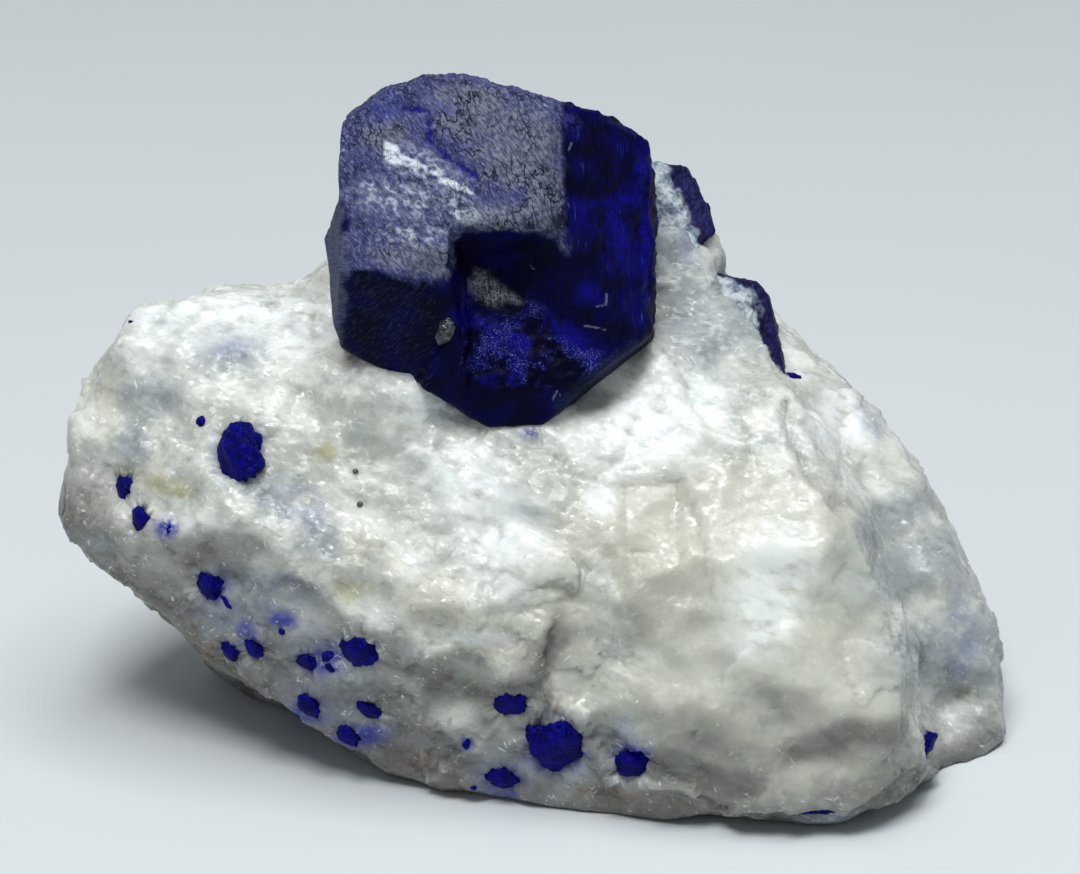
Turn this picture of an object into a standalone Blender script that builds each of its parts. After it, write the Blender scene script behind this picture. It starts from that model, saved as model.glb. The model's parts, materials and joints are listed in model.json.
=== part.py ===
"""A lazurite crystal on its marble matrix, a hand specimen 65 mm wide.

The matrix is one lump of coarse white calcite marble. A big dodecahedral lazurite crystal is rooted in its
top, two smaller crystals stand on the right shoulder, and small grains of lazurite dot the lower left side.

The forms are laid out on a drawing board that leans back, as the specimen is looked at in the hand: x runs to
the right, v up the board and w out of it, towards the eye. All lengths are millimetres until board() turns
them into the metres of the scene, with +Z up and the resting face at z = 0.
"""

import math

import bmesh
import bpy
from mathutils import Matrix, Vector
from mathutils.bvhtree import BVHTree

MM = 0.001

# The drawing board
BOARD_LEAN = math.radians(22.0)
BOARD_HEIGHT = 20.8
EYE_DISTANCE = 250.0

# Where the pieces meet, each keeps this far from the other
FIT_GAP = 0.3

# The bodies that grew onto the main crystal keep this far inside the faces that they share with it
GROWTH_INSET = 0.04

# The marble's surface: the fineness of its skin, its broad swells and its broken patches
SKIN_STEP = 0.6
MATRIX_TRIANGLES = 6200
EDGE_WEAR_PASSES = 5
SWELL_SIZE = 7.5
SWELL_HEIGHT = 1.3
PATCH_SIZE = 3.0
PATCH_HEIGHT = 0.8

# The block that cuts the resting face
BASE_CUT_WIDTH = 90.0
BASE_CUT_DEPTH = 30.0

# The crystals' centres on the board, and the block that each is cut from
MAIN_CENTRE = (-3.0, 12.5, 4.2)
BACK_CENTRE = (8.6, 14.2, -4.5)
SIDE_CENTRE = (13.2, 6.8, -3.5)
MAIN_BLOCK = 16.0
SMALL_BLOCK = 6.0

# A grain sits with its centre below the surface by this share of its radius. Its twelve faces lie at
# GRAIN_FACES of the radius and the six that blunt its corners at GRAIN_CORNERS, and each is turned further
GRAIN_DEPTH = 0.35
GRAIN_FACES = 0.9
GRAIN_CORNERS = 1.08
GRAIN_TURN = 47.0


def toward(a, b, c):
    """World direction of a board direction: a to the right, b up the board, c out of it."""
    lean_cos, lean_sin = math.cos(BOARD_LEAN), math.sin(BOARD_LEAN)
    return Vector((a, b * lean_sin - c * lean_cos, b * lean_cos + c * lean_sin))


def board(x, v, w):
    """World point, in metres, of what the eye sees at x, v on the board and that lies w in front of it."""
    nearer = 1 - w / EYE_DISTANCE
    return (toward(x * nearer, v * nearer, w) + Vector((0, 0, BOARD_HEIGHT))) * MM


def facing(point, direction):
    """World direction of a face seen at a board point: with no part out of the board, it is seen edge-on."""
    (x, v, _), (a, b, c) = point, direction
    return toward(a, b, c + (a * x + b * v) / EYE_DISTANCE).normalized()


def board_frame(point, radii=(1, 1, 1)):
    """A matrix that puts a unit shape at a board point, with the given half sizes along the board's axes."""
    turn = Matrix((toward(1, 0, 0), toward(0, 1, 0), toward(0, 0, 1))).transposed().to_4x4()
    return Matrix.Translation(board(*point)) @ turn @ Matrix.Diagonal([r * MM for r in radii]).to_4x4()


def slice_off(shape, point, normal):
    """Cuts away all of a closed convex shape that lies beyond the plane, and closes the cut."""
    geometry = shape.verts[:] + shape.edges[:] + shape.faces[:]
    bmesh.ops.bisect_plane(
        shape, geom=geometry, dist=1e-7, plane_co=point, plane_no=normal, clear_outer=True
    )
    rim = [edge for edge in shape.edges if edge.is_boundary]
    if rim:
        bmesh.ops.holes_fill(shape, edges=rim)


def lump(centre, radii, cuts):
    """A rounded lump with flat fracture faces: each cut is a board point and the way that the face looks."""
    shape = bmesh.new()
    bmesh.ops.create_icosphere(shape, subdivisions=4, radius=1.0, matrix=board_frame(centre, radii))
    for point, direction in cuts:
        slice_off(shape, board(*point), facing(point, direction))
    return shape


def faceted(centre, block, faces, grown=0.0):
    """A closed crystal cut from a block: a face is a place from the crystal's centre and the way it looks."""
    shape = bmesh.new()
    half = block + grown
    bmesh.ops.create_cube(shape, size=2.0, matrix=board_frame(centre, (half, half, half)))
    for place, direction in faces:
        point = [c + p for c, p in zip(centre, place)]
        normal = facing(point, direction)
        slice_off(shape, board(*point) + normal * (grown * MM), normal)
    return shape


def joined(shapes):
    """One mesh that holds all the shapes, which may overlap."""
    whole = bmesh.new()
    for shape in shapes:
        piece = bpy.data.meshes.new("piece")
        shape.to_mesh(piece)
        shape.free()
        whole.from_mesh(piece)
        bpy.data.meshes.remove(piece)
    return whole


def left_mass():
    """The wide lobe left of the crystal, which thins to a tip and ends in a lip in front."""
    return lump(
        (-11.0, -4.0, -5.0),
        (24.0, 23.0, 20.0),
        [
            # the outline, from the tip over the top and back along the underside
            ((-31.3, -1.5, 0.0), (-0.99, 0.14, 0.00)),
            ((-28.4, 6.0, -2.0), (-0.80, 0.60, 0.00)),
            ((-23.4, 9.2, -3.0), (-0.30, 0.95, 0.00)),
            ((-18.0, 9.8, -3.0), (0.05, 0.99, 0.00)),
            ((-30.6, -8.0, 0.0), (-0.60, -0.80, 0.04)),
            ((-24.6, -13.1, -1.0), (-0.54, -0.84, 0.02)),
            ((-18.2, -18.0, -1.0), (-0.66, -0.75, 0.00)),
            ((-10.0, -22.4, 1.0), (-0.31, -0.95, 0.04)),
            # the front, which faces up, then out, then down
            ((-20.0, 6.5, 3.2), (-0.10, 0.74, 0.66)),
            ((-12.0, -6.0, 8.6), (-0.03, 0.32, 0.95)),
            ((-26.0, -2.0, 4.4), (-0.52, 0.16, 0.84)),
            ((-14.0, -10.0, 9.0), (-0.20, -0.22, 0.95)),
            ((-12.0, -17.0, 6.4), (-0.24, -0.60, 0.76)),
            ((-25.0, -9.5, 3.4), (-0.45, -0.50, 0.74)),
            # the step where it ends against the front block
            ((2.0, -9.0, 9.0), (0.95, 0.06, 0.24)),
            # the rear
            ((-14.0, 2.0, -19.0), (-0.20, 0.45, -0.87)),
            ((-24.0, -4.0, -12.0), (-0.75, 0.05, -0.66)),
        ],
    )


def lip():
    """The rounded flake that stands proud where the left mass ends."""
    return lump((0.4, -9.0, 9.3), (2.1, 2.6, 1.7), [((0.0, -6.0, 10.0), (-0.30, 0.62, 0.72))])


def front_block():
    """The big bright block at the front right, with a ridge down its right side."""
    return lump(
        (9.0, -9.0, -4.0),
        (23.0, 24.0, 20.0),
        [
            # the front: a bright top, an upright face and a lower face that tucks under
            ((10.0, 3.0, 5.4), (0.02, 0.72, 0.69)),
            ((8.0, -2.5, 9.2), (0.00, 0.44, 0.90)),
            ((11.0, -9.0, 12.0), (0.05, 0.08, 0.99)),
            ((12.0, -19.0, 11.2), (0.02, -0.32, 0.95)),
            ((2.0, -12.0, 9.8), (-0.26, -0.06, 0.96)),
            ((4.0, -20.0, 9.0), (-0.22, -0.50, 0.84)),
            # the ridge at the right
            ((19.8, -11.0, 11.2), (0.42, 0.12, 0.90)),
            ((20.4, -3.2, 6.0), (0.80, 0.52, 0.28)),
            ((23.6, -13.0, 7.0), (0.95, 0.22, 0.20)),
            # the underside's outline
            ((14.0, -25.6, 6.0), (0.00, -0.99, 0.10)),
            ((1.0, -24.7, 4.0), (-0.17, -0.98, 0.10)),
            ((22.6, -24.4, 4.0), (0.45, -0.88, 0.10)),
            ((-10.0, -22.4, 1.0), (-0.31, -0.95, 0.04)),
            # the shoulder and the rear
            ((15.4, 6.6, -2.0), (0.64, 0.77, 0.0)),
            ((12.0, 4.6, 0.0), (0.05, 0.99, 0.05)),
            ((10.0, -4.0, -19.0), (0.10, 0.40, -0.90)),
        ],
    )


def right_flank():
    """The shaded side behind the ridge, which runs down to the lowest lobe at the far right."""
    return lump(
        (16.0, -8.0, -8.0),
        (19.0, 22.0, 17.0),
        [
            ((30.8, -17.5, -4.0), (0.985, 0.17, 0.0)),
            ((27.6, -7.4, -5.0), (0.91, 0.41, 0.0)),
            ((22.4, 0.9, -6.0), (0.75, 0.66, 0.0)),
            ((17.4, 6.2, -8.0), (0.68, 0.73, 0.0)),
            ((30.0, -21.4, -4.0), (0.83, -0.55, 0.10)),
            ((26.0, -23.9, -3.0), (0.22, -0.97, 0.10)),
            ((26.0, -10.0, 1.6), (0.66, 0.18, 0.73)),
            ((20.0, 0.5, -1.5), (0.42, 0.50, 0.76)),
            ((17.2, 4.5, -4.5), (0.15, 0.60, 0.78)),
            ((28.0, -20.0, -1.0), (0.50, -0.10, 0.86)),
            ((14.0, 0.0, -21.0), (0.15, 0.45, -0.88)),
            ((26.0, -8.0, -16.0), (0.66, 0.10, -0.74)),
        ],
    )


def crystal_seat():
    """The middle of the lump, which the main crystal grows from."""
    return lump(
        (-2.0, 0.0, -6.0),
        (18.0, 16.0, 17.0),
        [
            ((-6.0, 3.5, 5.8), (0.02, 0.32, 0.95)),
            ((-2.0, 8.6, 1.0), (0.00, 0.80, 0.60)),
            ((-4.0, 12.6, -4.0), (-0.05, 0.99, 0.0)),
            ((0.0, 6.0, -18.0), (0.0, 0.45, -0.89)),
        ],
    )


def crystal_collar():
    """The marble that laps over the lower left of the crystal."""
    return lump((-9.8, 2.0, 4.6), (4.8, 4.2, 3.6), [((-8.3, 4.2, 7.0), (0.57, 0.82, 0.10))])


def shoulder_tower():
    """The pale tower at the right of the crystal, which the back crystal grows from."""
    return lump(
        (6.5, 6.5, -5.0),
        (7.0, 11.5, 8.0),
        [
            ((12.5, 11.0, -4.0), (0.98, 0.18, 0.0)),
            ((10.8, 14.4, -4.0), (0.62, 0.78, 0.10)),
            ((7.0, 14.8, -4.0), (0.00, 0.96, 0.20)),
            ((9.0, 8.0, 1.6), (0.25, 0.18, 0.95)),
        ],
    )


def side_lump():
    """The pale lump lower on the shoulder, which coats the front of the side crystal."""
    return lump(
        (11.6, 3.0, -3.0),
        (5.4, 8.0, 6.4),
        [
            ((14.4, 8.4, -1.0), (0.95, 0.30, 0.0)),
            ((15.3, 4.8, -1.0), (0.93, 0.36, 0.0)),
            ((12.5, 9.8, -3.0), (0.15, 0.98, 0.0)),
            ((12.5, 3.0, 3.2), (0.35, 0.25, 0.90)),
        ],
    )


def back_mass():
    """The hidden rear of the lump, broken off in a few broad faces."""
    return lump(
        (0.0, -6.0, -12.0),
        (25.0, 18.0, 15.0),
        [
            ((-6.0, -6.0, -21.0), (-0.22, 0.16, -0.96)),
            ((8.0, -2.0, -21.5), (0.26, 0.34, -0.90)),
            ((2.0, -14.0, -21.0), (0.06, -0.20, -0.98)),
            ((-14.0, -4.0, -18.5), (-0.60, 0.15, -0.78)),
            ((17.0, -6.0, -19.5), (0.48, 0.05, -0.87)),
            ((-4.0, 6.4, -14.0), (-0.18, 0.86, -0.48)),
            ((8.0, 7.4, -14.0), (0.30, 0.88, -0.36)),
            ((14.6, 6.2, -10.0), (0.64, 0.77, 0.0)),
            ((-16.0, -19.0, -10.0), (-0.66, -0.75, 0.0)),
        ],
    )


def back_ledge():
    """A slab that still stands on the rear, lower down."""
    return lump(
        (4.0, -12.0, -17.0),
        (15.0, 10.0, 8.0),
        [
            ((4.0, -12.0, -23.4), (0.10, 0.10, -0.99)),
            ((2.0, -5.0, -20.0), (-0.20, 0.90, -0.38)),
            ((-8.0, -12.0, -20.0), (-0.85, 0.10, -0.50)),
            ((16.0, -12.0, -20.0), (0.80, 0.20, -0.55)),
        ],
    )


# The main crystal is three convex bodies grown into one, which share these faces
FRONT = ((-3.0, 4.0, 9.0), (-0.13, 0.17, 0.98))
LOWER_LEFT_FRONT = ((-6.5, -1.7, 9.5), (-0.14, -0.68, 0.72))
LOWER_FRONT = ((1.0, -2.0, 8.6), (0.05, -0.40, 0.92))
RIGHT_FRONT = ((4.7, 3.0, 8.2), (0.72, 0.03, 0.69))
RIGHT_SIDE = ((10.7, -1.0, 2.5), (0.99, -0.03, 0.0))
LOWER_LEFT_SIDE = ((-6.9, -8.3, 2.0), (-0.47, -0.88, 0.0))
BOTTOM_FACES = [
    ((7.0, -8.6, 3.0), (0.66, -0.75, 0.10)),
    ((4.0, -11.3, 3.0), (0.52, -0.85, 0.04)),
    ((0.8, -11.9, 3.0), (0.03, -0.99, 0.02)),
]
FAR_FACES = [
    ((-6.0, 3.0, -7.0), (-0.70, 0.10, -0.70)),
    ((6.0, 3.0, -7.0), (0.66, 0.08, -0.75)),
    ((0.0, 8.0, -6.0), (0.02, 0.72, -0.69)),
    ((0.0, -4.0, -7.5), (0.0, -0.30, -0.95)),
]

MAIN_FACES = [
    FRONT,
    LOWER_LEFT_FRONT,
    LOWER_FRONT,
    RIGHT_FRONT,
    RIGHT_SIDE,
    LOWER_LEFT_SIDE,
    *BOTTOM_FACES,
    *FAR_FACES,
    # the left side, which the eye just misses, and the upper right side
    ((-10.3, 6.0, 8.0), (-0.99, 0.02, -0.04)),
    ((10.4, 5.5, 2.5), (0.99, 0.12, 0.0)),
    # the worn top, from left to right
    ((-8.7, 9.7, 4.0), (-0.60, 0.80, 0.0)),
    ((-5.2, 11.2, 4.0), (-0.24, 0.97, 0.0)),
    ((-1.3, 11.3, 4.0), (0.25, 0.97, 0.0)),
    ((4.0, 9.9, 4.0), (0.29, 0.95, 0.0)),
    ((9.3, 7.8, 3.0), (0.55, 0.84, 0.0)),
]

# The step on the left of the main crystal, which shows as a sliver
STEP_FACES = [
    FRONT,
    LOWER_LEFT_FRONT,
    LOWER_LEFT_SIDE,
    *FAR_FACES,
    ((-10.0, 0.0, 8.7), (-0.97, 0.00, 0.22)),
    ((-10.5, 3.4, 7.0), (-0.72, 0.66, -0.20)),
    ((-11.3, -0.5, 3.0), (-0.94, -0.22, -0.26)),
    ((-6.0, 0.0, 0.0), (0.99, 0.0, 0.0)),
]

# The foot below the notch, which stands proud of the lower left front
FOOT_FACES = [
    LOWER_FRONT,
    RIGHT_FRONT,
    RIGHT_SIDE,
    *BOTTOM_FACES,
    *FAR_FACES,
    ((-3.3, -6.4, 6.9), (-0.86, 0.33, 0.38)),
    ((-3.0, -10.4, 3.0), (-0.52, -0.85, 0.0)),
    ((0.0, -3.0, 5.0), (-0.20, 0.90, 0.30)),
]

# The notch in the lower front of the main crystal: its roof, right wall, floor and left wall, which all look
# into the notch
NOTCH_WALLS = [
    ((0.0, 1.2, 8.9), (0.0, -0.85, 0.53)),
    ((3.0, -3.6, 5.2), (-0.37, -0.47, 0.80)),
    ((0.0, -2.0, 5.2), (-0.06, 0.02, 1.00)),
    ((-3.0, -1.0, 9.0), (0.95, 0.0, 0.30)),
]

# The back crystal, of which the front left is grown over
BACK_FACES = [
    ((0.4, 3.8, 0.0), (0.08, 0.99, 0.0)),
    ((2.0, 2.2, 0.0), (0.88, 0.48, 0.0)),
    ((2.9, 0.0, 0.0), (0.95, 0.30, 0.0)),
    ((2.3, -1.2, 0.0), (0.70, -0.72, 0.0)),
    ((0.8, 2.0, 2.6), (0.35, 0.45, 0.82)),
    ((-1.0, 0.0, 3.0), (-0.30, 0.10, 0.95)),
    ((-3.4, 0.0, 0.0), (-0.98, 0.10, 0.10)),
    ((-2.0, 3.2, -1.0), (-0.50, 0.80, -0.30)),
    ((1.5, 1.0, -3.0), (0.50, 0.30, -0.80)),
    ((-1.5, 0.0, -3.4), (-0.50, 0.00, -0.86)),
    ((0.0, -4.0, 0.0), (0.0, -0.99, 0.0)),
]

# The side crystal, of which the edge and the far side show
SIDE_FACES = [
    ((0.2, 3.8, 0.0), (0.20, 0.98, 0.0)),
    ((1.6, 3.1, 0.0), (0.78, 0.62, 0.0)),
    ((2.4, 1.2, 0.0), (0.97, 0.25, 0.0)),
    ((3.0, -1.8, 0.0), (0.98, 0.18, 0.0)),
    ((1.4, 1.0, 2.6), (0.50, 0.30, 0.80)),
    ((-0.5, 2.0, 3.0), (-0.10, 0.40, 0.90)),
    ((-3.6, 0.0, 0.0), (-0.98, 0.0, 0.10)),
    ((1.0, 2.0, -2.8), (0.40, 0.45, -0.80)),
    ((1.0, -2.0, -3.2), (0.50, -0.10, -0.86)),
    ((-2.0, 0.0, -3.2), (-0.50, 0.20, -0.84)),
    ((0.0, -4.6, 0.0), (0.0, -0.99, 0.0)),
]

# The grains of lazurite in the marble: place on the board and radius
GRAINS = [
    (-20.2, -1.2, 1.60),
    (-27.9, -3.3, 0.60),
    (-26.8, -5.4, 0.65),
    (-22.3, -9.9, 0.85),
    (-20.8, -14.4, 0.60),
    (-19.2, -14.2, 0.55),
    (-15.6, -15.0, 0.55),
    (-12.2, -14.4, 0.95),
    (-15.5, -18.1, 0.70),
    (-11.5, -18.3, 0.60),
    (-12.9, -20.1, 0.65),
    (-1.9, -17.9, 0.80),
    (1.0, -21.0, 1.85),
    (6.2, -22.0, 0.90),
    (-2.4, -22.9, 0.85),
    (25.9, -20.6, 0.75),
]


def clear_scene():
    """Starts from an empty scene."""
    for old in list(bpy.data.objects):
        bpy.data.objects.remove(old, do_unlink=True)


def new_collection(name):
    """An empty collection in the scene."""
    made = bpy.data.collections.new(name)
    bpy.context.scene.collection.children.link(made)
    return made


def finish(name, colour, roughness):
    """A Principled material with the piece's colour and roughness."""
    material = bpy.data.materials.new(name)
    material.use_nodes = True
    shader = material.node_tree.nodes["Principled BSDF"]
    shader.inputs["Base Color"].default_value = (*colour, 1.0)
    shader.inputs["Roughness"].default_value = roughness
    shader.inputs["Metallic"].default_value = 0.0
    return material


def add_object(name, shape, material, collection):
    """Puts a shape into the scene as a named object with its material."""
    bmesh.ops.recalc_face_normals(shape, faces=shape.faces)
    mesh = bpy.data.meshes.new(name)
    shape.to_mesh(mesh)
    shape.free()
    mesh.materials.append(material)
    placed = bpy.data.objects.new(name, mesh)
    collection.objects.link(placed)
    return placed


def add_cutter(name, shape, material, collection):
    """A shape that only cuts others: it isn't part of the specimen."""
    cutter = add_object(name, shape, material, collection)
    cutter.hide_render = True
    cutter.display_type = "WIRE"
    return cutter


def combine(piece, other, operation):
    """Joins another solid to the piece (UNION) or cuts it away (DIFFERENCE)."""
    step = piece.modifiers.new(other.name, "BOOLEAN")
    step.operation = operation
    step.object = other


def roughen(piece, name, texture_type, size, height):
    """Pushes the surface in and out by a pattern of the given size and whole height."""
    texture = bpy.data.textures.new(name, texture_type)
    texture.noise_scale = size * MM
    push = piece.modifiers.new(name, "DISPLACE")
    push.texture = texture
    push.texture_coords = "LOCAL"
    push.strength = height * MM
    push.mid_level = 0.5


def evaluated(piece):
    """The piece with its modifiers, and the dependency graph that holds it."""
    bpy.context.view_layer.update()
    graph = bpy.context.evaluated_depsgraph_get()
    return piece.evaluated_get(graph), graph


def triangle_count(piece):
    """How many triangles the piece has with its modifiers."""
    shown, _ = evaluated(piece)
    mesh = shown.to_mesh()
    mesh.calc_loop_triangles()
    count = len(mesh.loop_triangles)
    shown.to_mesh_clear()
    return count


def make_matrix(marble, parts, cutters):
    """The marble: lumps grown into one skin, with worn edges, swells and broken patches, and a flat base."""
    lumps = [
        left_mass(),
        lip(),
        front_block(),
        right_flank(),
        crystal_seat(),
        crystal_collar(),
        shoulder_tower(),
        side_lump(),
        back_mass(),
        back_ledge(),
    ]
    matrix = add_object("matrix", joined(lumps), marble, parts)
    skin = matrix.modifiers.new("one skin", "REMESH")
    skin.mode = "VOXEL"
    skin.voxel_size = SKIN_STEP * MM
    wear = matrix.modifiers.new("worn edges", "SMOOTH")
    wear.factor = 0.5
    wear.iterations = EDGE_WEAR_PASSES
    roughen(matrix, "swells", "CLOUDS", SWELL_SIZE, SWELL_HEIGHT)
    roughen(matrix, "patches", "VORONOI", PATCH_SIZE, PATCH_HEIGHT)
    count = triangle_count(matrix)
    coarser = matrix.modifiers.new("broad facets", "DECIMATE")
    coarser.ratio = MATRIX_TRIANGLES / count

    base = bmesh.new()
    place = Matrix.Translation(Vector((0, 0, -BASE_CUT_DEPTH * MM / 2)))
    size = Matrix.Diagonal((BASE_CUT_WIDTH * MM, BASE_CUT_WIDTH * MM, BASE_CUT_DEPTH * MM)).to_4x4()
    bmesh.ops.create_cube(base, size=1.0, matrix=place @ size)
    combine(matrix, add_cutter("base_cut", base, marble, cutters), "DIFFERENCE")
    return matrix


def make_crystal(name, centre, block, faces, matrix, lazurite, parts, cutters):
    """A crystal with flat faces, and its socket in the marble."""
    crystal = add_object(name, faceted(centre, block, faces), lazurite, parts)
    socket = faceted(centre, block, faces, grown=FIT_GAP)
    combine(matrix, add_cutter(name + "_socket", socket, lazurite, cutters), "DIFFERENCE")
    return crystal


def make_main_crystal(matrix, lazurite, parts, cutters):
    """The big crystal, with the step on its left, its foot and the broken notch in its front."""
    crystal = make_crystal(
        "main_crystal", MAIN_CENTRE, MAIN_BLOCK, MAIN_FACES, matrix, lazurite, parts, cutters
    )
    for name, faces in (("left_step", STEP_FACES), ("foot", FOOT_FACES)):
        growth = faceted(MAIN_CENTRE, MAIN_BLOCK, faces, grown=-GROWTH_INSET)
        combine(crystal, add_cutter(name, growth, lazurite, cutters), "UNION")
        socket = faceted(MAIN_CENTRE, MAIN_BLOCK, faces, grown=FIT_GAP - GROWTH_INSET)
        combine(matrix, add_cutter(name + "_socket", socket, lazurite, cutters), "DIFFERENCE")
    walls = [(place, [-along for along in direction]) for place, direction in NOTCH_WALLS]
    notch = faceted(MAIN_CENTRE, MAIN_BLOCK, walls)
    combine(crystal, add_cutter("notch", notch, lazurite, cutters), "DIFFERENCE")


def dodecahedron(centre, radius, turn):
    """A blunted rhombic dodecahedron, the form that lazurite grows in: a face over each edge of a cube."""
    shape = bmesh.new()
    block = Matrix.Translation(centre) @ turn.to_4x4() @ Matrix.Scale(radius * MM, 4)
    bmesh.ops.create_cube(shape, size=2 * GRAIN_CORNERS, matrix=block)
    for first in (-1, 1):
        for second in (-1, 1):
            for way in ((first, second, 0), (first, 0, second), (0, first, second)):
                normal = turn @ Vector(way).normalized()
                slice_off(shape, centre + normal * (radius * GRAIN_FACES * MM), normal)
    return shape


def make_grains(matrix, lazurite, parts, cutters):
    """Each grain sits where the eye sees it on the marble, sunk in a pocket of its own."""
    shown, graph = evaluated(matrix)
    surface = BVHTree.FromObject(shown, graph)
    eye = board(0, 0, EYE_DISTANCE)
    pockets = []
    for number, (x, v, radius) in enumerate(GRAINS, start=1):
        sight = (board(x, v, 0) - eye).normalized()
        hit, normal, _, _ = surface.ray_cast(eye, sight)
        centre = hit - normal * (radius * GRAIN_DEPTH * MM)
        turn = Matrix.Rotation(math.radians(GRAIN_TURN * number), 3, Vector((1.0, number % 3, 0.5)))
        grain = dodecahedron(centre, radius, turn)
        add_object(f"lazurite_grain_{number:02d}", grain, lazurite, parts)
        pockets.append(dodecahedron(centre, radius + FIT_GAP, turn))
    combine(matrix, add_cutter("grain_pockets", joined(pockets), lazurite, cutters), "DIFFERENCE")
    matrix.modifiers["grain_pockets"].use_self = True


def main():
    """The marble first, then the crystals in their sockets, then the grains in the skin that is left."""
    clear_scene()
    parts = new_collection("lazurite_on_matrix")
    cutters = new_collection("cutters")
    marble = finish("marble", (0.78, 0.79, 0.75), 0.45)
    lazurite = finish("lazurite", (0.02, 0.01, 0.16), 0.4)
    matrix = make_matrix(marble, parts, cutters)
    make_main_crystal(matrix, lazurite, parts, cutters)
    make_crystal("back_crystal", BACK_CENTRE, SMALL_BLOCK, BACK_FACES, matrix, lazurite, parts, cutters)
    make_crystal("side_crystal", SIDE_CENTRE, SMALL_BLOCK, SIDE_FACES, matrix, lazurite, parts, cutters)
    make_grains(matrix, lazurite, parts, cutters)


main()
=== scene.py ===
"""The looks of the lazurite specimen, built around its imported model.

Each crystal, each grain and the marble are carved finer than the solids that they stand for, and get their
finishes. Places are laid out on the specimen's own drawing board, which leans back and faces the eye: x to
the right, v up the board and w out of it, in millimetres.
"""

import json
import math

import bpy
import numpy as np
from mathutils import Matrix, Vector, noise
from mathutils.bvhtree import BVHTree
from mathutils.kdtree import KDTree

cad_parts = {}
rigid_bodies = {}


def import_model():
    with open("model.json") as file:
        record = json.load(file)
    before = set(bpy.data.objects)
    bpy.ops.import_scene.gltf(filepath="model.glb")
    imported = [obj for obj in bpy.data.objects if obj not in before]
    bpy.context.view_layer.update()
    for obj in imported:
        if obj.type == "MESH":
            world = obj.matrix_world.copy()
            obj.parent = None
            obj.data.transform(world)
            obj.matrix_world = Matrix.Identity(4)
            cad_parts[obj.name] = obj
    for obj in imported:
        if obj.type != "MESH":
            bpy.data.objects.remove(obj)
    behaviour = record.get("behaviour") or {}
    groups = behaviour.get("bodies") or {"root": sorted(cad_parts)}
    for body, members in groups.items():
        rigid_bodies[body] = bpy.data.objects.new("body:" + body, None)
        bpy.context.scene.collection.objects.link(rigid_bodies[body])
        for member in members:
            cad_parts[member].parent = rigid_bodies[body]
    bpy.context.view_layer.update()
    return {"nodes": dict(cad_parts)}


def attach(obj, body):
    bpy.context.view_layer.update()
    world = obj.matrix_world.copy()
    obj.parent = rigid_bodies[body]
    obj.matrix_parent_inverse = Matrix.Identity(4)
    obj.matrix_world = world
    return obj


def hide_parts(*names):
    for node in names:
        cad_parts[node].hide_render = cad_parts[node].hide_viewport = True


for old in list(bpy.data.objects):
    bpy.data.objects.remove(old, do_unlink=True)

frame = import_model()

MM = 0.001
BODY = "root"

# The drawing board, as in the model
BOARD_LEAN = math.radians(22.0)
BOARD_HEIGHT = 20.8
EYE_DISTANCE = 250.0
RIGHT = np.array([1.0, 0.0, 0.0])
UP = np.array([0.0, math.sin(BOARD_LEAN), math.cos(BOARD_LEAN)])
OUT = np.array([0.0, -math.cos(BOARD_LEAN), math.sin(BOARD_LEAN)])

# What the camera takes in at the board
VIEW_WIDTH = 72.0
SENSOR_WIDTH = 36.0

# How finely each piece is carved
MARBLE_STEP = 0.345
CRYSTAL_STEP = 0.2
SMALL_CRYSTAL_STEP = 0.15
GRAIN_STEP = 0.1
MARBLE_WEAR = 6
CRYSTAL_WEAR = 7
SMALL_CRYSTAL_WEAR = 3

# The marble's rim is drawn this far into a crystal: all of it from as near as the second number, and less
# and less out to the third
CRYSTAL_GRIP = (0.30, 0.50, 1.3)
GRAIN_GRIP = (0.15, 0.45, 0.8)

# Grains are drawn out to the size that they show: by the first number, and small ones by more with the
# second. They are broken off nearly flush, with this share of their height gone
GRAIN_GROWTH = (1.12, 0.14)
GRAIN_FLUSH = 0.5

GRAINS = sorted(name for name in frame["nodes"] if name.startswith("lazurite_grain"))


# Places and meshes

def toward(a, b, c):
    """World direction of a board direction: a to the right, b up the board, c out of it."""
    return a * RIGHT + b * UP + c * OUT


def board(x, v, w):
    """World point, in metres, of what the eye sees at x, v on the board and that lies w in front of it."""
    nearer = 1 - w / EYE_DISTANCE
    return (toward(x * nearer, v * nearer, w) + [0, 0, BOARD_HEIGHT]) * MM


EYE = board(0, 0, EYE_DISTANCE)
HEART = board(0, 0, -8)  # the middle of the lump, from which grains stand out


def seen(points):
    """Where the eye sees world points on the board, and how far in front of it they lie."""
    from_middle = points / MM - [0, 0, BOARD_HEIGHT]
    depth = from_middle @ OUT
    nearer = 1 - depth / EYE_DISTANCE
    return from_middle @ RIGHT / nearer, from_middle @ UP / nearer, depth


def smooth_step(value, low, high):
    """From 0 at low to 1 at high, with soft ends."""
    share = np.clip((value - low) / (high - low), 0, 1)
    return share * share * (3 - 2 * share)


def points_of(piece):
    flat = np.empty(len(piece.data.vertices) * 3)
    piece.data.vertices.foreach_get("co", flat)
    return flat.reshape(-1, 3)


def normals_of(piece):
    flat = np.empty(len(piece.data.vertices) * 3)
    piece.data.vertices.foreach_get("normal", flat)
    return flat.reshape(-1, 3)


def move_points(piece, points):
    """Puts the piece's points at new places."""
    piece.data.vertices.foreach_set("co", points.ravel())
    piece.data.update()


def push(piece, heights):
    """Moves each point out along its normal by its height in millimetres."""
    move_points(piece, points_of(piece) + normals_of(piece) * (heights * MM)[:, None])


def paint(piece, name, values):
    """Keeps a number for each point of the piece, for its finish to read."""
    layer = piece.data.attributes.new(name, "FLOAT", "POINT")
    layer.data.foreach_set("value", values.astype(np.float32))


def select_only(piece):
    for other in bpy.context.selected_objects:
        other.select_set(False)
    piece.select_set(True)
    bpy.context.view_layer.objects.active = piece


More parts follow.
